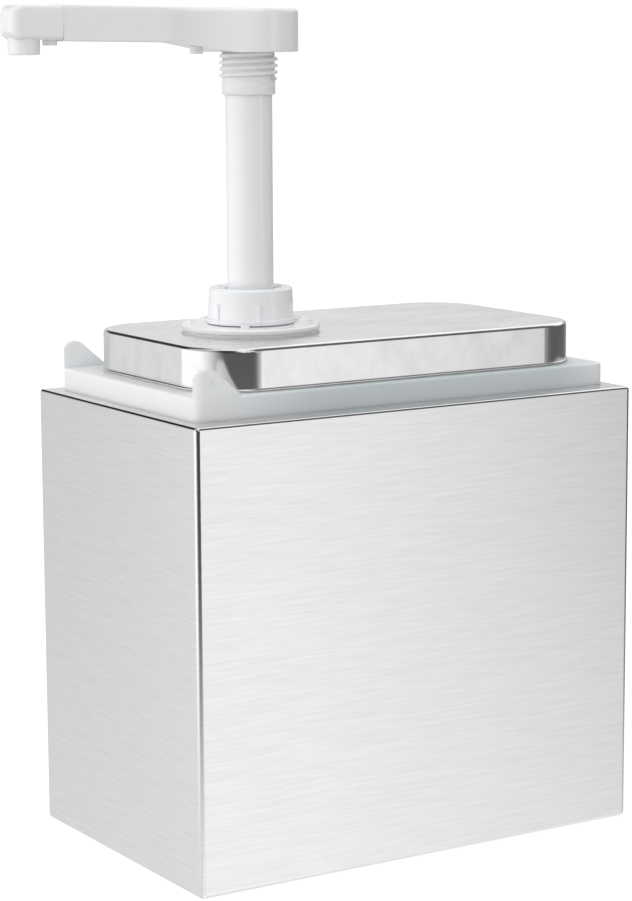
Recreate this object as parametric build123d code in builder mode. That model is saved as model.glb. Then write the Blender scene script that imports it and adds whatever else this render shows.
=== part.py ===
"""Condiment pump dispenser: a stainless case, a hanging jar, a lid and a hand pump with a side spout.

Millimetres.  The origin is the centre of the case's underside, +X along the long side, +Y to the back, +Z up.
The pump's spout points along -X.
"""
import math
import os

from build123d import *

# ---------------------------------------------------------------- driving dimensions
# case
CASE_LENGTH = 236.4
CASE_DEPTH = 151.0
CASE_HEIGHT = 210.0
SHEET = 1.0
CASE_CORNER = 2.0
CASE_EDGE = 1.5
CASE_HEM = 2.5
PAN_DEPTH = 9.0

# jar
JAR_X = 5.0
JAR_Y = 2.8
JAR_LENGTH = 200.0
JAR_DEPTH = 102.0
JAR_CORNER = 27.0
JAR_WALL = 2.5
JAR_FLOOR_Z = 12.0
JAR_DRAFT = 1.4
JAR_FOOT_RADIUS = 8.0
MOUTH_GAP = 4.0
MOUTH_FLANGE = 6.0

RIM_X = 1.4
RIM_LENGTH = 223.8
RIM_DEPTH = 129.6
RIM_HEIGHT = 10.5
RIM_CORNER = 5.0
RIM_EDGE = 1.3
UPSTAND = 7.0

EAR_THICKNESS = 3.0
EAR_POINT = 19.9
EAR_LENGTH = 23.2
EAR_RETURN = 3.2
EAR_ROUND = 6.3

# lid
LID_X = 3.4
LID_LENGTH = 207.0
LID_DEPTH = 120.0
LID_CORNER = 26.0
LID_HEIGHT = 19.5
LID_EDGE = 2.0

# pump, measured from its own axis
PUMP_X = -44.5
PUMP_Y = 2.0
RUNNING_GAP = 0.05
SEATED_GAP = 0.05
BALL_GAP = 0.3
VALVE_LIFT = 3.0

STEM_RADIUS = 10.75
STEM_BORE = 6.5
RING_GROOVE = 9.4
STEM_SHOWN = 88.0
PRESS_STROKE = 92.0

GASKET_RADIUS = 31.6
GASKET_THICKNESS = 1.6
FLANGE_RADIUS = 32.3
FLANGE_THICKNESS = 2.2
NECK_RADIUS = 17.0
NECK_BORE = 14.3
NUT_RADIUS = 19.8
NUT_HEIGHT = 16.8
NUT_MOUTH = 13.9
NUT_RIBS = 6
NUT_RIB_START = 10.4
LUG_START = 233.0
PIP_ANGLES = (9.0, 109.0, 147.0, 332.0)

BARREL_RADIUS = 15.0
BARREL_BORE = 12.5
BARREL_BOTTOM = 70.0
BARREL_THREAD = 16.0
CLAMP_RADIUS = 24.0
CLAMP_HEIGHT = 9.0

SLEEVE_RADIUS = 12.25
SLEEVE_COLLAR = 6.1
THREAD_RADIUS = 13.5
THREAD_CORE = 12.0
THREAD_LENGTH = 13.3
THREAD_TURNS = 4

PISTON_LENGTH = 20.0
SPRING_RADIUS = 10.2
SPRING_WIRE = 0.9
SPRING_TURNS = 11

# head and spout
DRUM_RADIUS = 22.9
DRUM_HEIGHT = 19.8
ARM_WIDTH = 15.0
ARM_HEIGHT = 16.0
ARM_TILT = 1.15
ARM_JOINT = 97.6
ARM_BLEND = 56.0
ARM_BORE = 5.0
FAIR_START = 14.0
FAIR_END = 41.0
PEG_AT = 27.25
PEG_RADIUS = 3.0
NOZZLE_END = 122.1
NOZZLE_AT = 113.3
NOZZLE_RADIUS = 6.9
NOZZLE_BORE = 4.0
NOZZLE_DROP = 368.0
JOINT_GAP = 0.3
PLUG_LENGTH = 12.0

# ---------------------------------------------------------------- heights worked out from them
RIM_TOP = CASE_HEIGHT + RIM_HEIGHT
LID_TOP = RIM_TOP + LID_HEIGHT
LID_UNDER = LID_TOP - SHEET
FLANGE_BOTTOM = LID_TOP + GASKET_THICKNESS
FLANGE_TOP = FLANGE_BOTTOM + FLANGE_THICKNESS
NUT_TOP = FLANGE_TOP + NUT_HEIGHT
NECK_TOP = NUT_TOP - 4.0
SLEEVE_BOTTOM = NUT_TOP + STEM_SHOWN
THREAD_BOTTOM = SLEEVE_BOTTOM + SLEEVE_COLLAR
DRUM_BOTTOM = THREAD_BOTTOM + THREAD_LENGTH
ARM_BOTTOM = DRUM_BOTTOM + DRUM_HEIGHT - ARM_HEIGHT
ARM_AXIS = ARM_BOTTOM + ARM_HEIGHT / 2
STEM_TOP = ARM_BOTTOM + 2.0

BUSH_FLANGE_TOP = LID_TOP + 2.0
BUSH_STEP = BUSH_FLANGE_TOP - 3.0
BUSH_BOTTOM = BUSH_STEP - 12.0
PISTON_TOP = BUSH_BOTTOM - 0.1
PISTON_BOTTOM = PISTON_TOP - PISTON_LENGTH
CUP_TOP = PISTON_BOTTOM + 12.0
FOOT_FLOOR = BARREL_BOTTOM - 2.0
FOOT_BOTTOM = FOOT_FLOOR - 10.0

SEAT_RADIUS = 3.4
BALL_RADIUS = 4.6
BALL_DROP = math.sqrt((BALL_RADIUS + BALL_GAP) ** 2 - SEAT_RADIUS ** 2)

# ---------------------------------------------------------------- planes
JAR_PLANE = Plane((JAR_X, JAR_Y, 0))
RIM_PLANE = Plane((RIM_X, JAR_Y, 0))
LID_PLANE = Plane((LID_X, JAR_Y, 0))
PUMP_PLANE = Plane((PUMP_X, PUMP_Y, 0))
# radius to the right, height up: the sketch plane for everything turned about the pump's axis
TURNED = Plane(origin=(PUMP_X, PUMP_Y, 0), x_dir=(1, 0, 0), z_dir=(0, -1, 0))
# distance along the arm to the right, height up, on the arm's middle plane
ARM_SIDE = Plane(origin=(PUMP_X, PUMP_Y, 0), x_dir=(-1, 0, 0), z_dir=(0, 1, 0))
PUMP_AXIS = Axis((PUMP_X, PUMP_Y, 0), (0, 0, 1))
# square to the arm's rising centre line: at the pump's axis, and just past the joint with the nozzle cap
ARM_RUN = (-math.cos(math.radians(ARM_TILT)), 0, math.sin(math.radians(ARM_TILT)))
ARM_START = Plane(origin=(PUMP_X, PUMP_Y, ARM_AXIS), x_dir=(0, 1, 0), z_dir=ARM_RUN)
ARM_END = ARM_START.offset((ARM_JOINT + JOINT_GAP) / math.cos(math.radians(ARM_TILT)))


def turned(*points):
    """Revolve a closed outline of (radius, height) points about the pump's axis."""
    with BuildSketch(TURNED) as section:
        with BuildLine():
            Polyline(*points, close=True)
        make_face()
    revolve(section.sketch, axis=PUMP_AXIS)


def ring(inner, outer, bottom, top, mode=Mode.ADD):
    """A plain ring about the pump's axis."""
    with BuildSketch(PUMP_PLANE.offset(bottom)) as section:
        Circle(outer)
        if inner > 0:
            Circle(inner, mode=Mode.SUBTRACT)
    extrude(section.sketch, amount=top - bottom, mode=mode)


def arm_axis_height(along):
    """Height of the arm's centre line at a distance along it."""
    return ARM_AXIS + along * math.tan(math.radians(ARM_TILT))


def across_arm(edge):
    """True for a straight edge that runs square across the arm."""
    return edge.geom_type == GeomType.LINE and abs(edge.tangent_at(0.5).Y) > 0.9


# ================================================================ case
with BuildPart() as case_shell:
    with BuildSketch():
        RectangleRounded(CASE_LENGTH, CASE_DEPTH, CASE_CORNER)
    extrude(amount=CASE_HEIGHT)
    fillet(case_shell.faces().sort_by(Axis.Z)[-1].edges(), CASE_EDGE)
    fillet(case_shell.faces().sort_by(Axis.Z)[0].edges(), CASE_EDGE)
    with BuildSketch(Plane.XY.offset(SHEET)):
        RectangleRounded(CASE_LENGTH - 2 * SHEET, CASE_DEPTH - 2 * SHEET, CASE_CORNER - SHEET)
    extrude(amount=CASE_HEIGHT - 2 * SHEET, mode=Mode.SUBTRACT)
    # the lower edge is turned in to carry the base
    with BuildSketch():
        RectangleRounded(CASE_LENGTH - 2 * CASE_HEM, CASE_DEPTH - 2 * CASE_HEM, CASE_CORNER)
    extrude(amount=SHEET, mode=Mode.SUBTRACT)
    # the jar's mouth, with its edge turned down for stiffness
    mouth_length = JAR_LENGTH + 2 * MOUTH_GAP
    mouth_depth = JAR_DEPTH + 2 * MOUTH_GAP
    with BuildSketch(JAR_PLANE.offset(CASE_HEIGHT - MOUTH_FLANGE)):
        RectangleRounded(mouth_length + 2 * SHEET, mouth_depth + 2 * SHEET, JAR_CORNER + SHEET)
    extrude(amount=MOUTH_FLANGE - SHEET / 2)
    with BuildSketch(JAR_PLANE.offset(CASE_HEIGHT - MOUTH_FLANGE)):
        RectangleRounded(mouth_length, mouth_depth, JAR_CORNER)
    extrude(amount=MOUTH_FLANGE + SHEET, mode=Mode.SUBTRACT)
case_shell.part.label = "case_shell"

with BuildPart() as case_base:
    # a pressed pan: it rests on the turned-in edge, and its floor steps down to fill the opening
    with BuildSketch():
        RectangleRounded(CASE_LENGTH - 2 * CASE_HEM, CASE_DEPTH - 2 * CASE_HEM, CASE_CORNER)
    extrude(amount=2 * SHEET)
    with BuildSketch(Plane.XY.offset(SHEET)):
        RectangleRounded(CASE_LENGTH - 2 * SHEET, CASE_DEPTH - 2 * SHEET, CASE_CORNER - SHEET)
    extrude(amount=PAN_DEPTH)
    with BuildSketch(Plane.XY.offset(2 * SHEET)):
        RectangleRounded(CASE_LENGTH - 4 * SHEET, CASE_DEPTH - 4 * SHEET, CASE_CORNER - 1.5 * SHEET)
    extrude(amount=PAN_DEPTH, mode=Mode.SUBTRACT)
    floor_inset = 2 * (CASE_HEM + SHEET)
    with BuildSketch(Plane.XY.offset(SHEET)):
        RectangleRounded(CASE_LENGTH - floor_inset, CASE_DEPTH - floor_inset, CASE_CORNER - SHEET)
    extrude(amount=SHEET, mode=Mode.SUBTRACT)
case_base.part.label = "case_base"

# ================================================================ jar
with BuildPart() as jar:
    # tapered body with its upstand, solid for now
    with BuildSketch(JAR_PLANE.offset(CASE_HEIGHT)):
        RectangleRounded(JAR_LENGTH, JAR_DEPTH, JAR_CORNER)
    extrude(amount=JAR_FLOOR_Z - CASE_HEIGHT, taper=JAR_DRAFT)
    fillet(jar.faces().sort_by(Axis.Z)[0].edges(), JAR_FOOT_RADIUS)
    # rim: a block that is undercut so that only its outer wall rests on the case
    with BuildSketch(RIM_PLANE.offset(CASE_HEIGHT)):
        RectangleRounded(RIM_LENGTH, RIM_DEPTH, RIM_CORNER)
    extrude(amount=RIM_HEIGHT)
    fillet(jar.faces().sort_by(Axis.Z)[-1].edges(), RIM_EDGE)
    with BuildSketch(RIM_PLANE.offset(CASE_HEIGHT)):
        RectangleRounded(RIM_LENGTH - 6, RIM_DEPTH - 6, RIM_CORNER - 3)
        with Locations((JAR_X - RIM_X, 0)):
            RectangleRounded(JAR_LENGTH, JAR_DEPTH, JAR_CORNER, mode=Mode.SUBTRACT)
    extrude(amount=RIM_HEIGHT - 2.5, mode=Mode.SUBTRACT)
    with BuildSketch(JAR_PLANE.offset(RIM_TOP)):
        RectangleRounded(JAR_LENGTH, JAR_DEPTH, JAR_CORNER)
    extrude(amount=UPSTAND)
    # hollow
    with BuildSketch(JAR_PLANE.offset(RIM_TOP + UPSTAND)):
        RectangleRounded(JAR_LENGTH - 2 * JAR_WALL, JAR_DEPTH - 2 * JAR_WALL, JAR_CORNER - JAR_WALL)
    extrude(amount=-(UPSTAND + RIM_HEIGHT), mode=Mode.SUBTRACT)
    with BuildSketch(JAR_PLANE.offset(CASE_HEIGHT)):
        RectangleRounded(JAR_LENGTH - 2 * JAR_WALL, JAR_DEPTH - 2 * JAR_WALL, JAR_CORNER - JAR_WALL)
    extrude(amount=JAR_FLOOR_Z + JAR_WALL - CASE_HEIGHT, taper=JAR_DRAFT, mode=Mode.SUBTRACT)
    inner_floor = jar.faces().filter_by(Axis.Z).sort_by(Axis.Z)[1]
    fillet(inner_floor.edges(), JAR_FOOT_RADIUS - JAR_WALL)
    # two finger ears: the rim's wall carried up around both corners at the spout end, to a rounded point
    ear_x = RIM_X - RIM_LENGTH / 2
    with BuildPart(mode=Mode.PRIVATE) as ears:
        with BuildSketch(RIM_PLANE.offset(RIM_TOP - 2)):
            RectangleRounded(RIM_LENGTH, RIM_DEPTH, RIM_CORNER)
            inner_width = RIM_DEPTH - 2 * EAR_THICKNESS
            RectangleRounded(RIM_LENGTH - 2 * EAR_THICKNESS, inner_width, RIM_CORNER - EAR_THICKNESS,
                             mode=Mode.SUBTRACT)
            Rectangle(RIM_LENGTH, RIM_DEPTH - 2 * EAR_RETURN, mode=Mode.SUBTRACT)
        extrude(amount=EAR_POINT)
        with BuildSketch(Plane(origin=(0, JAR_Y, 0), x_dir=(1, 0, 0), z_dir=(0, -1, 0))):
            with BuildLine():
                Polyline((ear_x, RIM_TOP - 2), (ear_x, RIM_TOP + EAR_POINT), (ear_x + EAR_LENGTH, RIM_TOP),
                         (ear_x + EAR_LENGTH, RIM_TOP - 2), close=True)
            make_face()
            fillet(vertices().sort_by(Axis.Y)[-1], EAR_ROUND)
        extrude(amount=RIM_DEPTH, both=True, mode=Mode.INTERSECT)
    add(ears.part)
    with BuildSketch(Plane(origin=(ear_x + 8.0, JAR_Y - RIM_DEPTH / 2, RIM_TOP + 5.8), z_dir=(0, -1, 0))):
        Circle(1.1)
    extrude(amount=-0.8, mode=Mode.SUBTRACT)
jar.part.label = "jar"

# ================================================================ lid
with BuildPart() as lid:
    with BuildSketch(LID_PLANE.offset(RIM_TOP)):
        RectangleRounded(LID_LENGTH, LID_DEPTH, LID_CORNER)
    extrude(amount=LID_HEIGHT)
    fillet(lid.faces().sort_by(Axis.Z)[-1].edges(), LID_EDGE)
    with BuildSketch(LID_PLANE.offset(RIM_TOP)):
        RectangleRounded(LID_LENGTH - 2 * SHEET, LID_DEPTH - 2 * SHEET, LID_CORNER - SHEET)
    extrude(amount=LID_HEIGHT - SHEET, mode=Mode.SUBTRACT)
    ring(0, BARREL_THREAD + 0.5, LID_UNDER - 1, LID_TOP + 1, mode=Mode.SUBTRACT)
lid.part.label = "lid"

# ================================================================ pump barrel and what clamps it to the lid
with BuildPart() as flange_gasket:
    ring(BARREL_THREAD + 0.2, GASKET_RADIUS, LID_TOP, FLANGE_BOTTOM)
flange_gasket.part.label = "flange_gasket"

with BuildPart() as pump_cylinder:
    thread_bottom = LID_UNDER - CLAMP_HEIGHT - 2
    turned((BARREL_BORE, BARREL_BOTTOM), (BARREL_RADIUS, BARREL_BOTTOM), (BARREL_RADIUS, thread_bottom),
           (BARREL_THREAD, thread_bottom), (BARREL_THREAD, FLANGE_BOTTOM), (FLANGE_RADIUS, FLANGE_BOTTOM),
           (FLANGE_RADIUS, FLANGE_TOP - 0.8), (FLANGE_RADIUS - 0.8, FLANGE_TOP), (NECK_RADIUS, FLANGE_TOP),
           (NECK_RADIUS, NECK_TOP), (NECK_BORE, NECK_TOP), (NECK_BORE, BUSH_STEP), (BARREL_BORE, BUSH_STEP))
    # three small stops against the collar nut's skirt, and four grip pips near the flange's edge
    with BuildSketch(PUMP_PLANE.offset(FLANGE_TOP - 0.2)):
        with PolarLocations(NUT_RADIUS + 2.9, 3, start_angle=LUG_START):
            RectangleRounded(2.6, 4.0, 0.6)
        for pip_angle in PIP_ANGLES:
            with PolarLocations(FLANGE_RADIUS - 4.6, 1, start_angle=pip_angle):
                RectangleRounded(2.8, 4.4, 1.2)
    extrude(amount=1.4)
pump_cylinder.part.label = "pump_cylinder"

with BuildPart() as flange_nut:
    with BuildSketch(PUMP_PLANE.offset(LID_UNDER - CLAMP_HEIGHT)):
        RegularPolygon(CLAMP_RADIUS, 8)
        Circle(BARREL_THREAD + SEATED_GAP, mode=Mode.SUBTRACT)
    extrude(amount=CLAMP_HEIGHT)
flange_nut.part.label = "flange_nut"

with BuildPart() as collar_nut:
    turned((NECK_RADIUS + SEATED_GAP, FLANGE_TOP + 0.4), (NUT_RADIUS + 0.6, FLANGE_TOP + 0.4),
           (NUT_RADIUS + 0.6, FLANGE_TOP + 2.4), (NUT_RADIUS + 0.1, FLANGE_TOP + 2.8),
           (NUT_RADIUS - 0.4, NUT_TOP - 1.0), (NUT_RADIUS - 1.4, NUT_TOP), (NUT_MOUTH + 1.2, NUT_TOP),
           (NUT_MOUTH, NUT_TOP - 1.2), (NUT_MOUTH, NECK_TOP + 0.2),
           (NECK_RADIUS + SEATED_GAP, NECK_TOP + 0.2))
    with BuildSketch(PUMP_PLANE.offset(FLANGE_TOP + 0.4)):
        with PolarLocations(NUT_RADIUS - 0.2, NUT_RIBS, start_angle=NUT_RIB_START):
            RectangleRounded(2.0, 1.5, 0.4)
    extrude(amount=9.4)
collar_nut.part.label = "collar_nut"

with BuildPart() as guide_bush:
    bush_bore = STEM_RADIUS + RUNNING_GAP
    turned((bush_bore, BUSH_BOTTOM), (BARREL_BORE - SEATED_GAP, BUSH_BOTTOM),
           (BARREL_BORE - SEATED_GAP, BUSH_STEP), (NECK_BORE - SEATED_GAP, BUSH_STEP),
           (NECK_BORE - SEATED_GAP, BUSH_FLANGE_TOP), (STEM_RADIUS + 1.6, BUSH_FLANGE_TOP),
           (STEM_RADIUS + 1.6, BUSH_FLANGE_TOP - 2.2), (bush_bore, BUSH_FLANGE_TOP - 2.2))
guide_bush.part.label = "guide_bush"

with BuildPart() as wiper_ring:
    wiper_outer = STEM_RADIUS + 1.6 - SEATED_GAP
    turned((STEM_RADIUS + 0.5, BUSH_FLANGE_TOP - 2.2), (wiper_outer, BUSH_FLANGE_TOP - 2.2),
           (wiper_outer, BUSH_FLANGE_TOP), (STEM_RADIUS + RUNNING_GAP, BUSH_FLANGE_TOP),
           (STEM_RADIUS + RUNNING_GAP, BUSH_FLANGE_TOP - 0.8))
wiper_ring.part.label = "wiper_ring"

# ================================================================ foot valve
with BuildPart() as foot_valve:
    spigot_end = FOOT_BOTTOM - 14
    turned((SEAT_RADIUS, FOOT_FLOOR), (SEAT_RADIUS, spigot_end), (6.0, spigot_end), (6.5, FOOT_BOTTOM),
           (14.5, FOOT_BOTTOM), (18.2, FOOT_BOTTOM + 4), (18.2, BARREL_BOTTOM + 12),
           (BARREL_RADIUS + SEATED_GAP, BARREL_BOTTOM + 12), (BARREL_RADIUS + SEATED_GAP, FOOT_FLOOR))
    with BuildSketch(PUMP_PLANE.offset(FOOT_BOTTOM + 4)):
        with PolarLocations(18.4, 12):
            Rectangle(1.6, 3.0)
    extrude(amount=BARREL_BOTTOM + 10 - FOOT_BOTTOM - 4)
foot_valve.part.label = "foot_valve"

with BuildPart() as foot_oring:
    ring(12.8, 14.8, FOOT_FLOOR, BARREL_BOTTOM)
foot_oring.part.label = "foot_oring"

with BuildPart() as intake_cage:
    ball_top = FOOT_FLOOR + BALL_DROP + BALL_RADIUS + VALVE_LIFT
    cage_roof = ball_top + 0.5
    cage_outer = BARREL_BORE - SEATED_GAP
    turned((7.0, FOOT_FLOOR), (cage_outer, FOOT_FLOOR), (cage_outer, cage_roof + 2.0), (0, cage_roof + 2.0),
           (0, cage_roof), (7.0, cage_roof))
    with BuildSketch(PUMP_PLANE.offset(cage_roof - 1)):
        with PolarLocations(7.2, 6):
            Circle(2.2)
    extrude(amount=4, mode=Mode.SUBTRACT)
intake_cage.part.label = "intake_cage"

with BuildPart() as intake_ball:
    with Locations((PUMP_X, PUMP_Y, FOOT_FLOOR + BALL_DROP)):
        Sphere(BALL_RADIUS)
intake_ball.part.label = "intake_ball"

with BuildPart() as intake_tube:
    tube_top = FOOT_BOTTOM - 2
    tube_bottom = JAR_FLOOR_Z + JAR_WALL + 4
    turned((6.55, tube_bottom), (8.5, tube_bottom), (8.5, tube_top), (6.55, tube_top))
    # the mouth is notched so that it can't be sucked shut against the jar's floor
    with BuildSketch(PUMP_PLANE.offset(tube_bottom)):
        Rectangle(24, 4)
    extrude(amount=5, mode=Mode.SUBTRACT)
intake_tube.part.label = "intake_tube"

# ================================================================ piston, spring and discharge valve
with BuildPart() as stem:
    stem_bottom = PISTON_BOTTOM + 6
    turned((STEM_BORE, stem_bottom), (STEM_RADIUS - 2.0, stem_bottom), (STEM_RADIUS - 2.0, PISTON_TOP),
           (STEM_RADIUS, PISTON_TOP), (STEM_RADIUS, STEM_TOP - 3.6), (RING_GROOVE, STEM_TOP - 3.6),
           (RING_GROOVE, STEM_TOP - 2.0), (STEM_RADIUS, STEM_TOP - 2.0), (STEM_RADIUS, STEM_TOP),
           (STEM_BORE, STEM_TOP))
stem.part.label = "stem"

with BuildPart() as piston:
    piston_bore = STEM_RADIUS - 2.0 + RUNNING_GAP
    turned((piston_bore, CUP_TOP), (BARREL_BORE - 0.3, CUP_TOP), (BARREL_BORE - 0.3, PISTON_TOP),
           (piston_bore, PISTON_TOP))
piston.part.label = "piston"

with BuildPart() as piston_cup:
    turned((piston_bore, CUP_TOP - 5), (BARREL_BORE - 1.6, CUP_TOP - 5), (BARREL_BORE - 1.6, CUP_TOP - 1.6),
           (BARREL_BORE - 1.1, CUP_TOP - 1.6), (BARREL_BORE - RUNNING_GAP, CUP_TOP - 5.6),
           (BARREL_BORE - RUNNING_GAP, CUP_TOP), (piston_bore, CUP_TOP))
piston_cup.part.label = "piston_cup"

with BuildPart() as piston_retainer:
    # screwed up into the stem: it holds the cup and carries the discharge seat and the spring
    retainer_top = CUP_TOP - 5
    seat_top = stem_bottom - 0.5
    turned((SEAT_RADIUS, PISTON_BOTTOM), (7.9, PISTON_BOTTOM), (7.9, PISTON_BOTTOM + 2),
           (11.4, PISTON_BOTTOM + 2), (11.4, retainer_top - 1.2), (9.4, retainer_top - 1.2),
           (9.4, seat_top), (SEAT_RADIUS, seat_top))
piston_retainer.part.label = "piston_retainer"

with BuildPart() as discharge_ball:
    with Locations((PUMP_X, PUMP_Y, seat_top + BALL_DROP)):
        Sphere(BALL_RADIUS)
discharge_ball.part.label = "discharge_ball"

with BuildPart() as ball_stop:
    stop_bottom = seat_top + BALL_DROP + BALL_RADIUS + VALVE_LIFT - 1.0
    ring(3.6, STEM_BORE - SEATED_GAP, stop_bottom, stop_bottom + 2.5)
ball_stop.part.label = "ball_stop"

with BuildPart() as return_spring:
    # open coils between the intake cage and the piston's retainer
    spring_bottom = cage_roof + 2.0 + SPRING_WIRE + 0.1
    spring_top = PISTON_BOTTOM + 2 - SPRING_WIRE - 0.1
    spring_height = spring_top - spring_bottom
    with BuildLine(PUMP_PLANE.offset(spring_bottom)) as coil:
        Helix(pitch=spring_height / SPRING_TURNS, height=spring_height, radius=SPRING_RADIUS)
    with BuildSketch(Plane(origin=coil.line @ 0, z_dir=coil.line % 0)):
        Circle(SPRING_WIRE)
    sweep(path=coil.line, is_frenet=True)
return_spring.part.label = "return_spring"

# ================================================================ head
with BuildPart() as lock_sleeve:
    sleeve_bore = STEM_RADIUS + SEATED_GAP
    pitch = THREAD_LENGTH / (THREAD_TURNS + 0.5)
    outline = [(sleeve_bore, SLEEVE_BOTTOM), (SLEEVE_RADIUS - 0.5, SLEEVE_BOTTOM),
               (SLEEVE_RADIUS, SLEEVE_BOTTOM + 0.6), (SLEEVE_RADIUS, THREAD_BOTTOM),
               (THREAD_CORE, THREAD_BOTTOM + 0.1)]
    for turn in range(THREAD_TURNS):
        root = THREAD_BOTTOM + 0.4 + turn * pitch
        outline += [(THREAD_CORE, root), (THREAD_RADIUS, root + 0.35 * pitch),
                    (THREAD_RADIUS, root + 0.5 * pitch), (THREAD_CORE, root + 0.85 * pitch)]
    outline += [(THREAD_CORE, DRUM_BOTTOM), (sleeve_bore, DRUM_BOTTOM)]
    turned(*outline)
lock_sleeve.part.label = "lock_sleeve"

with BuildPart() as pump_head:
    # seen from above: a drum drawn out into the arm
    with BuildSketch(PUMP_PLANE.offset(DRUM_BOTTOM)):
        Circle(DRUM_RADIUS)
        with Locations((-ARM_JOINT / 2, 0)):
            Rectangle(ARM_JOINT, ARM_WIDTH)
        inner_corners = vertices().filter_by(lambda v: -DRUM_RADIUS < v.X < -DRUM_RADIUS / 2)
        fillet(inner_corners, ARM_BLEND)
    extrude(amount=30)
    # seen from the side: one straight top that rises a little towards the nozzle, and a flat drum whose
    # underside fairs up to the arm
    half_height = ARM_HEIGHT / 2
    with BuildSketch(ARM_SIDE):
        with BuildLine():
            Polyline((-30, DRUM_BOTTOM), (FAIR_START, DRUM_BOTTOM),
                     (FAIR_END, arm_axis_height(FAIR_END) - half_height),
                     (ARM_JOINT, arm_axis_height(ARM_JOINT) - half_height),
                     (ARM_JOINT, arm_axis_height(ARM_JOINT) + half_height),
                     (-30, arm_axis_height(-30) + half_height), close=True)
        make_face()
    extrude(amount=60, both=True, mode=Mode.INTERSECT)
    outline = pump_head.edges().filter_by(lambda e: abs(e.tangent_at(0.5).Z) < 0.1 and not across_arm(e))
    fillet(outline.filter_by(lambda e: e.center().Z > ARM_AXIS), 2.2)
    outline = pump_head.edges().filter_by(lambda e: abs(e.tangent_at(0.5).Z) < 0.1 and not across_arm(e))
    fillet(outline.filter_by(lambda e: e.center().Z < ARM_AXIS - 4), 0.8)
    # small peg under the root of the arm
    with BuildSketch(Plane((PUMP_X - PEG_AT, PUMP_Y, DRUM_BOTTOM - 0.6))):
        Circle(PEG_RADIUS)
    extrude(amount=8)
    # socket for the stem, the passage above it, and the channel out along the arm
    ring(0, STEM_RADIUS + SEATED_GAP, DRUM_BOTTOM - 1, STEM_TOP, mode=Mode.SUBTRACT)
    ring(0, STEM_BORE, DRUM_BOTTOM, ARM_AXIS, mode=Mode.SUBTRACT)
    with BuildSketch(ARM_START):
        Circle(ARM_BORE)
    extrude(amount=ARM_JOINT + 10, mode=Mode.SUBTRACT)
pump_head.part.label = "pump_head"

with BuildPart() as stem_oring:
    ring(RING_GROOVE, STEM_RADIUS, STEM_TOP - 3.6, STEM_TOP - 2.0)
stem_oring.part.label = "stem_oring"

with BuildPart() as nozzle_cap:
    joint_height = arm_axis_height(ARM_JOINT)
    # outer shell: the arm's own section carried on to a rounded end
    with BuildSketch(ARM_END):
        RectangleRounded(ARM_HEIGHT, ARM_WIDTH, 2.4)
    extrude(amount=NOZZLE_END - ARM_JOINT - JOINT_GAP)
    fillet(nozzle_cap.faces().sort_by(Axis.X)[0].edges(), 4.6)
    # push-fit plug with a groove for its ring
    with BuildSketch(ARM_END):
        Circle(ARM_BORE - 0.1)
    extrude(amount=-PLUG_LENGTH)
    with BuildSketch(ARM_END.offset(-PLUG_LENGTH + 3)):
        Circle(ARM_BORE)
        Circle(ARM_BORE - 1.1, mode=Mode.SUBTRACT)
    extrude(amount=1.8, mode=Mode.SUBTRACT)
    # outlet pointing down, with a small latch tab behind it
    with BuildSketch(Plane((PUMP_X - NOZZLE_AT, PUMP_Y, NOZZLE_DROP))):
        Circle(NOZZLE_RADIUS)
    extrude(amount=joint_height - NOZZLE_DROP, taper=-1.5)
    fillet(nozzle_cap.faces().sort_by(Axis.Z)[0].edges(), 0.8)
    with BuildSketch(Plane((PUMP_X - ARM_JOINT - 3.2, PUMP_Y, joint_height - ARM_HEIGHT / 2 - 1.8))):
        RectangleRounded(5.0, 6.0, 1.0)
    extrude(amount=4)
    # channel
    with BuildSketch(Plane((PUMP_X - NOZZLE_AT, PUMP_Y, NOZZLE_DROP - 1))):
        Circle(NOZZLE_BORE)
    extrude(amount=joint_height - NOZZLE_DROP + 1, mode=Mode.SUBTRACT)
    with BuildSketch(ARM_END.offset(-PLUG_LENGTH - 1)):
        Circle(NOZZLE_BORE - 1)
    extrude(amount=PLUG_LENGTH + NOZZLE_AT - ARM_JOINT + 1, mode=Mode.SUBTRACT)
nozzle_cap.part.label = "nozzle_cap"

with BuildPart() as nozzle_oring:
    with BuildSketch(ARM_END.offset(-PLUG_LENGTH + 3)):
        Circle(ARM_BORE - RUNNING_GAP)
        Circle(ARM_BORE - 1.1, mode=Mode.SUBTRACT)
    extrude(amount=1.8)
nozzle_oring.part.label = "nozzle_oring"

if __name__ == "__main__":
    os.makedirs("parts", exist_ok=True)
    made = [case_shell, case_base, jar, lid,
            flange_gasket, pump_cylinder, flange_nut, collar_nut, guide_bush, wiper_ring,
            foot_valve, foot_oring, intake_cage, intake_ball, intake_tube,
            stem, piston, piston_cup, piston_retainer, discharge_ball, ball_stop, return_spring,
            lock_sleeve, pump_head, stem_oring, nozzle_cap, nozzle_oring]
    for piece in made:
        export_step(piece.part, f"parts/{piece.part.label}.step")
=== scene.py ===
"""Looks for the condiment pump dispenser: materials, finer pieces, studio and camera.

Lengths are metres in the CAD frame, unless a comment says millimetres.
"""
import math

import bmesh
import bpy
from mathutils import Matrix, Vector


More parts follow.
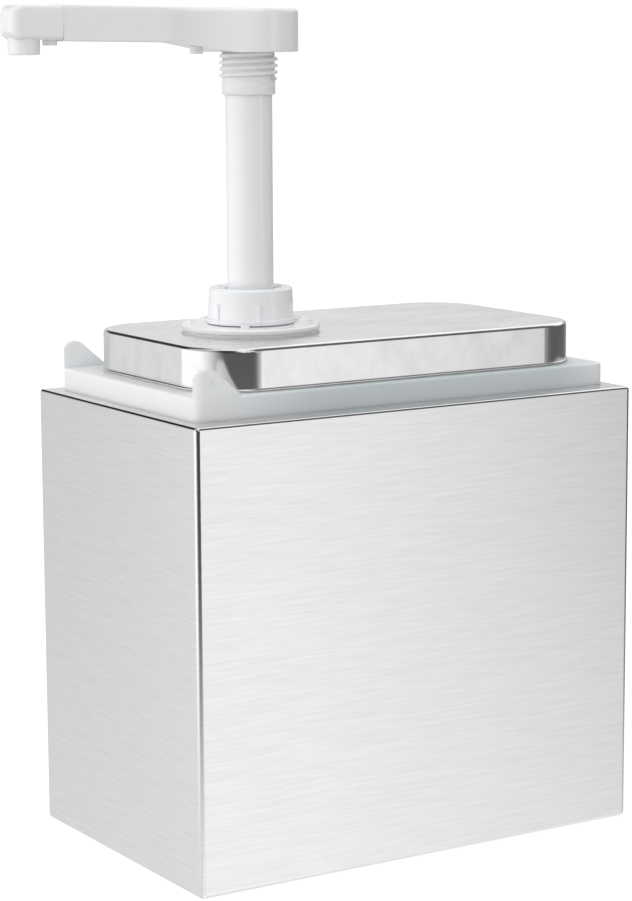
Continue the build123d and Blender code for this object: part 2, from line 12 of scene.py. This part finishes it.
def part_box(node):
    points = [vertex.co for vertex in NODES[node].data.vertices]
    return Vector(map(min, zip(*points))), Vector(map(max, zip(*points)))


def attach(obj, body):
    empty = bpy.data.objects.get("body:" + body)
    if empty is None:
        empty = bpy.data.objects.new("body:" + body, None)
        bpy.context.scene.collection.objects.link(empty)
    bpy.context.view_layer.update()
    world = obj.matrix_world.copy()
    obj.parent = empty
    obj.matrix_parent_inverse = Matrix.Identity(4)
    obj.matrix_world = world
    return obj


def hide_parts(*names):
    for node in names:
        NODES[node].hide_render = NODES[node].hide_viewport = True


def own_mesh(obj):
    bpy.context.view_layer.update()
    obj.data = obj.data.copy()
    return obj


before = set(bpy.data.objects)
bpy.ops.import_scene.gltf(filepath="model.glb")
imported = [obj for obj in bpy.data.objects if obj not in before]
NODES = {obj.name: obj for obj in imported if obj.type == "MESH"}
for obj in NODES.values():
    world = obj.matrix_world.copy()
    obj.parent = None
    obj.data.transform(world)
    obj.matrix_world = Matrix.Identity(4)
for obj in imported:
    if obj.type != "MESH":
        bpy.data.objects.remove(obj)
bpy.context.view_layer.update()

MM = 0.001
WHITE = (1.0, 1.0, 1.0)


# ---------------------------------------------------------------- node helpers
def grey(level):
    """A plain grey colour."""
    return (level, level, level)


def scaled(colour, factor):
    """A colour made darker or lighter."""
    return tuple(factor * value for value in colour)


def new_material(name):
    """An empty node material with one Principled shader wired to its output."""
    material = bpy.data.materials.new(name)
    material.use_nodes = True
    tree = material.node_tree
    tree.nodes.clear()
    output = tree.nodes.new("ShaderNodeOutputMaterial")
    shader = tree.nodes.new("ShaderNodeBsdfPrincipled")
    tree.links.new(shader.outputs["BSDF"], output.inputs["Surface"])
    return material, tree, shader


def mapped(tree, value, source, target=(0.0, 1.0), smooth=True):
    """Map a value from one range onto another, level beyond its ends, and eased if smooth."""
    node = tree.nodes.new("ShaderNodeMapRange")
    if smooth:
        node.interpolation_type = "SMOOTHSTEP"
    for end, number in zip(("From Min", "From Max", "To Min", "To Max"), (*source, *target)):
        node.inputs[end].default_value = number
    tree.links.new(value, node.inputs["Value"])
    return node.outputs["Result"]


def mixed(tree, factor, first, second, kind="RGBA"):
    """Blend two values by a 0..1 factor: sockets, plain colours or, if kind is FLOAT, numbers."""
    node = tree.nodes.new("ShaderNodeMix")
    node.data_type = kind
    tree.links.new(factor, node.inputs["Factor"])
    for socket, value in (("A", first), ("B", second)):
        if isinstance(value, tuple):
            node.inputs[socket].default_value = (*value, 1.0)
        elif isinstance(value, float):
            node.inputs[socket].default_value = value
        else:
            tree.links.new(value, node.inputs[socket])
    return node.outputs["Result"]


def maths(tree, operation, first, second):
    """One arithmetic step on two sockets."""
    node = tree.nodes.new("ShaderNodeMath")
    node.operation = operation
    tree.links.new(first, node.inputs[0])
    tree.links.new(second, node.inputs[1])
    return node.outputs["Value"]


def axes(tree, vector):
    """The X, Y and Z sockets of a vector."""
    node = tree.nodes.new("ShaderNodeSeparateXYZ")
    tree.links.new(vector, node.inputs["Vector"])
    return node.outputs


def noise(tree, scale, detail, roughness=0.6):
    """Noise over the object's own coordinates, with a scale for each axis (in cycles per metre)."""
    coords = tree.nodes.new("ShaderNodeTexCoord")
    mapping = tree.nodes.new("ShaderNodeMapping")
    mapping.inputs["Scale"].default_value = scale
    texture = tree.nodes.new("ShaderNodeTexNoise")
    texture.inputs["Scale"].default_value = 1.0
    texture.inputs["Detail"].default_value = detail
    texture.inputs["Roughness"].default_value = roughness
    tree.links.new(coords.outputs["Object"], mapping.inputs["Vector"])
    tree.links.new(mapping.outputs["Vector"], texture.inputs["Vector"])
    return texture.outputs["Fac"]


def spread(tree, value, low=0.0, high=1.0):
    """Map a noise value from its usual middle range onto low..high."""
    return mapped(tree, value, (0.2, 0.8), (low, high))


def bump(tree, shader, height, strength, distance):
    """Bump the shader's normal by a height value."""
    node = tree.nodes.new("ShaderNodeBump")
    node.inputs["Strength"].default_value = strength
    node.inputs["Distance"].default_value = distance
    tree.links.new(height, node.inputs["Height"])
    tree.links.new(node.outputs["Normal"], shader.inputs["Normal"])


def stretch_gloss(tree, shader, amount, turn):
    """Draw the highlight out across the grain, from a tangent that runs round the upright axis."""
    tangent = tree.nodes.new("ShaderNodeTangent")
    tangent.direction_type = "RADIAL"
    tangent.axis = "Z"
    tree.links.new(tangent.outputs["Tangent"], shader.inputs["Tangent"])
    shader.inputs["Anisotropic"].default_value = amount
    shader.inputs["Anisotropic Rotation"].default_value = turn


def cloudiness(shader, weight):
    """Light that soaks 3 mm into a plastic, the same for every colour."""
    shader.inputs["Subsurface Weight"].default_value = weight
    shader.inputs["Subsurface Radius"].default_value = WHITE
    shader.inputs["Subsurface Scale"].default_value = 0.003


# ---------------------------------------------------------------- materials
def at_bends(tree):
    """1 on the rounded bends of an upright box, 0 on its flat faces."""
    geometry = tree.nodes.new("ShaderNodeNewGeometry")
    size = tree.nodes.new("ShaderNodeVectorMath")
    size.operation = "ABSOLUTE"
    tree.links.new(geometry.outputs["Normal"], size.inputs[0])
    parts = axes(tree, size.outputs["Vector"])
    largest = maths(tree, "MAXIMUM", parts["X"], parts["Y"])
    largest = maths(tree, "MAXIMUM", largest, parts["Z"])
    return mapped(tree, largest, (0.999, 0.985), smooth=False)


def brushed_steel(name, grain, colour=0.80, roughness=0.25, stretch=0.6):
    """Stainless sheet: thin streaks in tone and height, soft ones in gloss, glossier bends."""
    tone_swing = 0.045
    gloss_swing = 0.012
    bend_roughness = 0.10
    material, tree, shader = new_material(name)
    fine = noise(tree, grain, detail=5.0, roughness=0.65)
    broad = noise(tree, scaled(grain, 0.4), detail=3.0)
    dark = grey((1 - tone_swing) * colour)
    light = grey((1 + tone_swing) * colour)
    tree.links.new(mixed(tree, spread(tree, fine), dark, light), shader.inputs["Base Color"])
    sheet = spread(tree, broad, roughness - gloss_swing, roughness + gloss_swing)
    gloss = mixed(tree, at_bends(tree), sheet, bend_roughness, "FLOAT")
    tree.links.new(gloss, shader.inputs["Roughness"])
    shader.inputs["Metallic"].default_value = 1.0
    stretch_gloss(tree, shader, stretch, 0.25)
    bump(tree, shader, fine, 0.007, 0.0001)
    return material


def lid_steel():
    """Drawn lid: nearly mirror-bright skirt, top brushed along its length with cloudy patches."""
    skirt_roughness = 0.20
    top_roughness = (0.23, 0.33)
    material, tree, shader = new_material("lid_steel")
    geometry = tree.nodes.new("ShaderNodeNewGeometry")
    upward = axes(tree, geometry.outputs["Normal"])["Z"]
    flat = mapped(tree, upward, (0.85, 0.995), smooth=False)
    grain = noise(tree, (40.0, 1100.0, 1100.0), detail=6.0, roughness=0.7)
    cloud = noise(tree, (28.0, 60.0, 60.0), detail=4.0, roughness=0.65)
    handled = noise(tree, (75.0, 75.0, 55.0), detail=5.0)
    gloss = mixed(tree, flat, skirt_roughness, spread(tree, cloud, *top_roughness), "FLOAT")
    tree.links.new(gloss, shader.inputs["Roughness"])
    streaks = mixed(tree, spread(tree, grain), (0.72, 0.73, 0.73), (0.88, 0.88, 0.88))
    patches = mixed(tree, spread(tree, cloud), (0.74, 0.75, 0.75), (0.90, 0.90, 0.90))
    brushed = mixed(tree, spread(tree, cloud, 0.35, 0.65), streaks, patches)
    polished = mixed(tree, spread(tree, handled), (0.76, 0.76, 0.75), (0.87, 0.87, 0.86))
    tree.links.new(mixed(tree, flat, polished, brushed), shader.inputs["Base Color"])
    shader.inputs["Metallic"].default_value = 1.0
    bump(tree, shader, maths(tree, "MULTIPLY", grain, flat), 0.06, 0.00012)
    return material


def moulded_plastic(name, colour, roughness, clearness=0.10):
    """White moulded plastic: slightly see-through at thin edges, with faint flow marks."""
    darkest = 0.988
    gloss_swing = 0.015
    material, tree, shader = new_material(name)
    flow = noise(tree, (45.0, 45.0, 90.0), detail=2.0)
    tone = mixed(tree, spread(tree, flow), scaled(colour, darkest), colour)
    tree.links.new(tone, shader.inputs["Base Color"])
    gloss = spread(tree, flow, roughness - gloss_swing, roughness + gloss_swing)
    tree.links.new(gloss, shader.inputs["Roughness"])
    shader.inputs["IOR"].default_value = 1.52
    cloudiness(shader, clearness)
    bump(tree, shader, noise(tree, grey(1400.0), detail=2.0), 0.02, 0.00006)
    return material


# where painted light turns the jar's colour from its darker middle tone to a whiter one at the ends
# and ears: (coordinate, start, end)
JAR_PAINTED_LIGHT = (("X", -0.036, -0.108), ("X", 0.080, 0.125), ("Z", 0.2205, 0.2235))


def milky_plastic():
    """The jar's translucent plastic: cooler and darker in the middle, with painted light making it
    whiter at the ears and ends.
    """
    material, tree, shader = new_material("jar_plastic")
    cloud = spread(tree, noise(tree, grey(22.0), detail=3.0))
    colour = mixed(tree, cloud, (0.640, 0.690, 0.710), (0.648, 0.697, 0.716))
    # the whiter tone of the painted light at the jar's ends and ears
    painted_light_tone = mixed(tree, cloud, (0.885, 0.900, 0.915), (0.892, 0.905, 0.920))
    coords = tree.nodes.new("ShaderNodeTexCoord")
    place = axes(tree, coords.outputs["Object"])
    # painted light: whiter towards both ends, and above the rim's top on the ears
    for axis, start, end in JAR_PAINTED_LIGHT:
        colour = mixed(tree, mapped(tree, place[axis], (start, end)), colour, painted_light_tone)
    tree.links.new(colour, shader.inputs["Base Color"])
    shader.inputs["Roughness"].default_value = 0.29
    shader.inputs["IOR"].default_value = 1.49
    cloudiness(shader, 0.5)
    bump(tree, shader, noise(tree, grey(700.0), detail=2.0), 0.03, 0.0001)
    return material


def paint(material, *names):
    """Put a material on CAD nodes."""
    for name in names:
        for slot in NODES[name].material_slots:
            slot.material = material


def make_materials():
    """Paint the CAD nodes, and give back the finishes that the finer pieces share with them."""
    steel = brushed_steel("case_steel", (42.0, 42.0, 760.0))
    lid = lid_steel()
    white = moulded_plastic("pump_plastic", (0.89, 0.90, 0.915), 0.14)
    clear = moulded_plastic("sleeve_plastic", (0.965, 0.97, 0.98), 0.14, 0.3)
    natural = moulded_plastic("inner_plastic", (0.86, 0.87, 0.85), 0.35, 0.4)
    silicone = moulded_plastic("seal_rubber", (0.88, 0.885, 0.89), 0.5, 0.3)
    valve = brushed_steel("valve_steel", grey(600.0), colour=0.70, roughness=0.2, stretch=0.0)
    paint(steel, "case_shell", "case_base")
    paint(lid, "lid")
    paint(milky_plastic(), "jar")
    paint(white, "pump_cylinder", "collar_nut", "flange_nut", "stem", "pump_head", "nozzle_cap",
          "foot_valve", "intake_cage")
    paint(clear, "lock_sleeve")
    paint(natural, "guide_bush", "piston", "piston_retainer", "ball_stop", "intake_tube")
    paint(silicone, "flange_gasket", "wiper_ring", "foot_oring", "piston_cup", "stem_oring",
          "nozzle_oring")
    paint(valve, "intake_ball", "discharge_ball", "return_spring")
    return lid, clear, valve


def smooth_cad_nodes():
    """Smooth shading on every CAD face; the frame's own normals keep the corners crisp."""
    for node in NODES.values():
        for polygon in node.data.polygons:
            polygon.use_smooth = True


# ---------------------------------------------------------------- finer pieces
# the pump's upright axis
PUMP = Vector((-44.5, 2.0, 0.0)) * MM


def add_mesh(name, shells, material, body):
    """A smooth mesh of one or more shells, riding on a body, with one of the record's slots."""
    vertices = []
    faces = []
    for points, corners in shells:
        faces += [tuple(len(vertices) + corner for corner in face) for face in corners]
        vertices += points
    mesh = bpy.data.meshes.new(name)
    mesh.from_pydata(vertices, [], faces)
    mesh.materials.append(material)
    for polygon in mesh.polygons:
        polygon.use_smooth = True
    facing = bmesh.new()
    facing.from_mesh(mesh)
    bmesh.ops.recalc_face_normals(facing, faces=facing.faces)
    facing.to_mesh(mesh)
    facing.free()
    piece = bpy.data.objects.new(name, mesh)
    bpy.context.scene.collection.objects.link(piece)
    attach(piece, body)
    return piece


def skin(rings, closed):
    """A shell through rings of points: joined end to end if closed, else with a cap at each end."""
    count = len(rings)
    width = len(rings[0])
    faces = []
    for i in range(count if closed else count - 1):
        a = i * width
        b = (i + 1) % count * width
        for j in range(width):
            k = (j + 1) % width
            faces.append((a + j, b + j, b + k, a + k))
    if not closed:
        faces.append(tuple(range(width)))
        faces.append(tuple(reversed(range((count - 1) * width, count * width))))
    return [point for ring in rings for point in ring], faces


def by_pump(radius, angle, height):
    """A point by its radius and angle about the pump's axis and its height (millimetres)."""
    return PUMP + Vector((radius * math.cos(angle), radius * math.sin(angle), height)) * MM


def circle(steps):
    """Angles of evenly spaced steps round a circle."""
    return [2 * math.pi * step / steps for step in range(steps)]


# the rolled bead on the lid's lower edge, in millimetres
LIP = {"centre": (3.4, 2.8), "length": 207.0, "depth": 120.0, "corner": 26.0, "height": 221.2,
       "radius": 0.7}


def rounded_loop(centre, length, depth, corner, steps=14):
    """Points and outward directions round a rectangle with rounded corners, seen from above."""
    loop = []
    for quarter, (sx, sy) in enumerate(((1, 1), (-1, 1), (-1, -1), (1, -1))):
        middle = Vector((centre[0] + sx * (length / 2 - corner),
                         centre[1] + sy * (depth / 2 - corner), 0))
        for step in range(steps + 1):
            angle = math.radians(90 * quarter + 90 * step / steps)
            out = Vector((math.cos(angle), math.sin(angle), 0))
            loop.append((middle + corner * out, out))
    return loop


def lid_lip(material, sides=10):
    """A round bead that follows the lid's lower edge."""
    radius = LIP["radius"]
    loop = rounded_loop(LIP["centre"], LIP["length"], LIP["depth"], LIP["corner"])
    rings = [[(point + radius * math.cos(angle) * out
               + Vector((0, 0, LIP["height"] + radius * math.sin(angle)))) * MM
              for angle in circle(sides)] for point, out in loop]
    add_mesh("lid_lip", [skin(rings, True)], material, "lid")


# lock sleeve, in millimetres: bore, collar, core and thread crest (radii), and the heights of
# its steps; the thread's first turn starts a little above the shoulder
SLEEVE = {"bore": 10.8, "collar": 12.25, "core": 12.0, "crest": 13.45, "bottom": 348.6,
          "shoulder": 354.7, "top": 367.9, "pitch": 2.95, "turns": 4.1, "lead": 0.9, "angle": -1.1}


def sleeve_outline():
    """The sleeve's section without its thread: (radius, height) round the outline."""
    bore, collar, core = SLEEVE["bore"], SLEEVE["collar"], SLEEVE["core"]
    bottom, shoulder, top = SLEEVE["bottom"], SLEEVE["shoulder"], SLEEVE["top"]
    return [(bore, bottom), (collar - 0.5, bottom), (collar, bottom + 0.6),
            (collar, shoulder - 0.3), (collar - 0.25, shoulder), (core, shoulder + 0.1),
            (core, top), (bore, top)]


def thread_section(crest):
    """The thread's section: (radius, rise as a part of the pitch), from below to above."""
    core = SLEEVE["core"]
    half = [(core - 0.3, 0.42), (core + 0.1, 0.36), (crest - 0.15, 0.17), (crest, 0.07)]
    return [(radius, -rise) for radius, rise in half] + half[::-1]


def threaded_sleeve(material, per_turn=96, fade_steps=14):
    """The lock sleeve with a real screw thread that fades in and out at its ends."""
    outline = sleeve_outline()
    body = skin([[by_pump(radius, angle, z) for radius, z in outline]
                 for angle in circle(per_turn)], True)
    start = SLEEVE["shoulder"] + SLEEVE["lead"]
    valley = SLEEVE["core"] - 0.1
    total = int(SLEEVE["turns"] * per_turn)
    rings = []
    for step in range(total + 1):
        angle = 2 * math.pi * step / per_turn + SLEEVE["angle"]
        rise = start + SLEEVE["pitch"] * step / per_turn
        fade = min(1.0, step / fade_steps, (total - step) / fade_steps)
        section = thread_section(valley + (SLEEVE["crest"] - valley) * fade)
        rings.append([by_pump(radius, angle, rise + part * SLEEVE["pitch"])
                      for radius, part in section])
    piece = add_mesh("lock_sleeve_thread", [body, skin(rings, False)], material, "head")
    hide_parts("lock_sleeve")


# return spring, in millimetres: coil radius, wire radius, turns, and the stroke that shortens it
COIL = {"radius": 10.2, "wire": 0.9, "turns": 11, "stroke": 92.0}


def return_coil(material, per_turn=48, sides=12):
    """The return spring as a plain coil that fills the CAD spring's height."""
    low, high = (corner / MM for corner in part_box("return_spring"))
    wire = COIL["wire"]
    bottom = low.z + wire
    length = high.z - low.z - 2 * wire
    steps = COIL["turns"] * per_turn
    rings = []
    for step in range(steps + 1):
        turn = 2 * math.pi * step / per_turn
        height = bottom + length * step / steps
        rings.append([by_pump(COIL["radius"] + wire * math.cos(angle), turn,
                              height + wire * math.sin(angle)) for angle in circle(sides)])
    coil = add_mesh("return_coil", [skin(rings, False)], material, "lid")
    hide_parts("return_spring")
    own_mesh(coil)


# ---------------------------------------------------------------- camera
AIM = Vector((-0.0016, 0.0142, 0.1780))
DISTANCE = 1.300
AZIMUTH = -31.995
ELEVATION = 9.1875
ROLL = -0.3147
LENS = 108.2
SENSOR = 36.0


def make_camera():
    """The photograph's viewpoint, with angles in degrees and lens and sensor in millimetres."""
    azimuth = math.radians(AZIMUTH)
    elevation = math.radians(ELEVATION)
    roll = math.radians(ROLL)
    back = Vector((math.sin(azimuth) * math.cos(elevation),
                   -math.cos(azimuth) * math.cos(elevation), math.sin(elevation)))
    right = (-back).cross(Vector((0, 0, 1))).normalized()
    up = back.cross(right)
    turned_right = math.cos(roll) * right + math.sin(roll) * up
    turned_up = math.cos(roll) * up - math.sin(roll) * right
    data = bpy.data.cameras.new("camera")
    data.lens = LENS
    data.sensor_width = SENSOR
    data.clip_start = 0.01
    camera = bpy.data.objects.new("camera", data)
    turn = Matrix((turned_right, turned_up, back)).transposed().to_4x4()
    camera.matrix_world = Matrix.Translation(AIM + DISTANCE * back) @ turn
    bpy.context.scene.collection.objects.link(camera)
    bpy.context.scene.camera = camera


# ---------------------------------------------------------------- studio
# Each table holds compass directions round the object (degrees from +X towards +Y, once round
# from CUT) and how bright the studio is there.  Glossy surfaces reflect the first three.
CUT = 20.0
# level with the object: wide soft boxes, dark gaps, and a bright strip for the case's front
WALLS = ((20, 0.20), (45, 0.50), (60, 0.78), (80, 0.66), (100, 0.70), (118, 0.68), (120.5, 0.78),
         (124, 1.30), (180, 1.25), (196, 0.85), (212, 0.35), (222, 0.06), (293.5, 0.04),
         (296.5, 1.46), (299, 1.40), (301, 1.18), (303.5, 1.02), (306, 0.86), (310, 0.86),
         (311, 0.25), (320, 0.10), (379, 0.14))
# higher up: dark where the lid's upper bends reflect it
UPPER = ((20, 1.3), (60, 1.1), (72, 0.7), (80, 0.02), (124, 0.02), (132, 0.6), (190, 0.6),
         (210, 0.02), (248, 0.02), (256, 1.0), (284, 1.0), (291, 0.12), (346, 0.12), (354, 0.9),
         (379, 1.3))
# the pale floor, seen in the case's lower half: darker beside its left face than at its front
GLOW = ((20, 0.92), (60, 0.82), (190, 0.82), (270, 1.30), (299, 1.30), (306, 1.06), (320, 0.96),
        (379, 0.92))
# the light on matt surfaces: strong from the left, weak from the right
SOFT = ((20, 0.72), (60, 0.90), (120, 1.30), (180, 1.58), (230, 1.08), (280, 0.64), (330, 0.58),
        (379, 0.72))
CEILING = 1.15
SOFT_CEILING = 1.05
SOFT_FLOOR = 0.58
BACKDROP = 1.05
# steps in height, as the sine of the angle above the horizon
FLOOR_STEP = (-0.34, -0.20)
UPPER_STEP = (0.24, 0.33)
CEILING_STEP = (0.86, 0.94)
SOFT_FLOOR_STEP = (-0.7, -0.1)
SOFT_CEILING_STEP = (0.4, 0.9)


def compass_ramp(tree, place, levels):
    """Brightness by compass direction."""
    node = tree.nodes.new("ShaderNodeValToRGB")
    elements = node.color_ramp.elements
    while len(elements) < len(levels):
        elements.new(0.5)
    for element, (compass, _) in zip(elements, levels):
        element.position = (compass - CUT) / 360.0
    for element, (_, level) in zip(elements, levels):
        element.color = (*grey(level), 1.0)
    tree.links.new(place, node.inputs["Fac"])
    return node.outputs["Color"]


def over(tree, height, step, below, above):
    """Blend from one colour to another across a step in height."""
    return mixed(tree, mapped(tree, height, step), below, above)


def background(tree, colour):
    """A background shader of one colour."""
    node = tree.nodes.new("ShaderNodeBackground")
    tree.links.new(colour, node.inputs["Color"])
    return node.outputs["Background"]


def switched(tree, switch, off, on):
    """One shader or another, by the kind of ray."""
    node = tree.nodes.new("ShaderNodeMixShader")
    tree.links.new(switch, node.inputs["Fac"])
    tree.links.new(off, node.inputs[1])
    tree.links.new(on, node.inputs[2])
    return node.outputs["Shader"]


def make_world():
    """A white studio: one room for reflections, a softer one for matt light, a white backdrop."""
    world = bpy.data.worlds.new("studio")
    world.use_nodes = True
    tree = world.node_tree
    tree.nodes.clear()
    output = tree.nodes.new("ShaderNodeOutputWorld")
    coords = tree.nodes.new("ShaderNodeTexCoord")
    turn = tree.nodes.new("ShaderNodeVectorRotate")
    turn.rotation_type = "Z_AXIS"
    turn.inputs["Angle"].default_value = -math.radians(CUT + 180.0)
    tree.links.new(coords.outputs["Generated"], turn.inputs["Vector"])
    parts = axes(tree, turn.outputs["Vector"])
    angle = maths(tree, "ARCTAN2", parts["Y"], parts["X"])
    place = mapped(tree, angle, (-math.pi, math.pi), smooth=False)
    height = parts["Z"]
    walls = compass_ramp(tree, place, WALLS)
    upper = compass_ramp(tree, place, UPPER)
    room = over(tree, height, FLOOR_STEP, compass_ramp(tree, place, GLOW), walls)
    room = over(tree, height, UPPER_STEP, room, upper)
    room = over(tree, height, CEILING_STEP, room, grey(CEILING))
    soft = compass_ramp(tree, place, SOFT)
    soft = over(tree, height, SOFT_FLOOR_STEP, grey(SOFT_FLOOR), soft)
    soft = over(tree, height, SOFT_CEILING_STEP, soft, grey(SOFT_CEILING))
    plain = tree.nodes.new("ShaderNodeBackground")
    plain.inputs["Color"].default_value = (*WHITE, 1.0)
    plain.inputs["Strength"].default_value = BACKDROP
    ray = tree.nodes.new("ShaderNodeLightPath").outputs
    light = switched(tree, ray["Is Diffuse Ray"], background(tree, room), background(tree, soft))
    seen = switched(tree, ray["Is Camera Ray"], light, plain.outputs["Background"])
    tree.links.new(seen, output.inputs["Surface"])
    bpy.context.scene.world = world


FLOOR_HALF = 6.0
FLOOR_DROP = 0.0002
FLOOR_EMISSION = 0.72


def make_floor():
    """A large pale sheet with only a faint contact shadow; GLOW stands in for its reflection."""
    half = FLOOR_HALF
    corners = [(-half, -half, 0), (half, -half, 0), (half, half, 0), (-half, half, 0)]
    mesh = bpy.data.meshes.new("floor")
    mesh.from_pydata(corners, [], [(0, 1, 2, 3)])
    floor = bpy.data.objects.new("floor", mesh)
    floor.location.z = -FLOOR_DROP
    bpy.context.scene.collection.objects.link(floor)
    material, _, shader = new_material("floor_paper")
    shader.inputs["Base Color"].default_value = (*grey(0.45), 1.0)
    shader.inputs["Roughness"].default_value = 0.9
    shader.inputs["Specular IOR Level"].default_value = 0.0
    shader.inputs["Emission Color"].default_value = (*WHITE, 1.0)
    shader.inputs["Emission Strength"].default_value = FLOOR_EMISSION
    mesh.materials.append(material)
    floor.visible_glossy = False
    floor.visible_diffuse = False


# ---------------------------------------------------------------- build
make_camera()
make_world()
make_floor()
lid_finish, sleeve_finish, valve_finish = make_materials()
smooth_cad_nodes()
lid_lip(lid_finish)
threaded_sleeve(sleeve_finish)
return_coil(valve_finish)
bpy.context.scene.view_settings.view_transform = "Standard"
